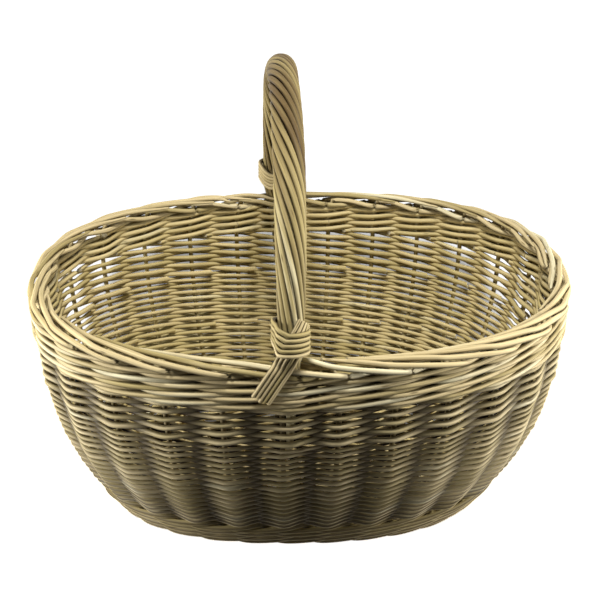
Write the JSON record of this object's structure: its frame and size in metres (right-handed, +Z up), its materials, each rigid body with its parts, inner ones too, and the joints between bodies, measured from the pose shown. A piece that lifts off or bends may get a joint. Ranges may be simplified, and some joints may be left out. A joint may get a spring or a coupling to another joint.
{
  "type": "foraging basket",
  "caption": "Oval foraging basket of peeled willow rods with randed sides, waled foot and top, a rod border and a fixed roped bow handle across the middle.",
  "frame": {"origin": "centre of the bounding box at the floor, where the lowest round of the weave rests", "axes": "+X along the basket's length towards the picture's right, -Y towards the picture's front, +Z up"},
  "size_m": [0.4533, 0.3891, 0.3887],
  "materials": {
    "base_willow": "dried peeled willow, semi-gloss",
    "stake_willow": "dried peeled willow, semi-gloss",
    "side_willow": "dried peeled willow, semi-gloss",
    "wale_willow": "dried peeled willow, semi-gloss",
    "handle_willow": "dried peeled willow, semi-gloss"
  },
  "bodies": {
    "root": {"base_long_stick_1": "base_willow", "base_long_stick_2": "base_willow", "base_long_stick_3": "base_willow", "base_cross_stick_1": "base_willow", "base_cross_stick_2": "base_willow", "base_cross_stick_3": "base_willow", "base_cross_stick_4": "base_willow", "base_weaver_a": "base_willow", "base_weaver_b": "base_willow", "stake_01": "stake_willow", "stake_02": "stake_willow", "stake_03": "stake_willow", "stake_04": "stake_willow", "stake_05": "stake_willow", "stake_06": "stake_willow", "stake_07": "stake_willow", "stake_08": "stake_willow", "stake_09": "stake_willow", "stake_10": "stake_willow", "stake_11": "stake_willow", "stake_12": "stake_willow", "stake_13": "stake_willow", "stake_14": "stake_willow", "stake_15": "stake_willow", "stake_16": "stake_willow", "stake_17": "stake_willow", "stake_18": "stake_willow", "stake_19": "stake_willow", "stake_20": "stake_willow", "stake_21": "stake_willow", "stake_22": "stake_willow", "stake_23": "stake_willow", "stake_24": "stake_willow", "stake_25": "stake_willow", "stake_26": "stake_willow", "stake_27": "stake_willow", "stake_28": "stake_willow", "upsett_wale_a": "wale_willow", "upsett_wale_b": "wale_willow", "upsett_wale_c": "wale_willow", "side_weaver_lower_a": "side_willow", "side_weaver_lower_b": "side_willow", "side_weaver_middle_a": "side_willow", "side_weaver_middle_b": "side_willow", "side_weaver_upper_a": "side_willow", "side_weaver_upper_b": "side_willow", "top_wale_a": "wale_willow", "top_wale_b": "wale_willow", "top_wale_c": "wale_willow", "handle_bow": "handle_willow", "handle_strand_1": "handle_willow", "handle_strand_2": "handle_willow", "handle_strand_3": "handle_willow", "handle_strand_4": "handle_willow", "handle_strand_5": "handle_willow", "handle_strand_6": "handle_willow", "handle_strand_7": "handle_willow", "handle_strand_8": "handle_willow", "front_handle_binding": "handle_willow", "back_handle_binding": "handle_willow"}
  },
  "joints": []
}
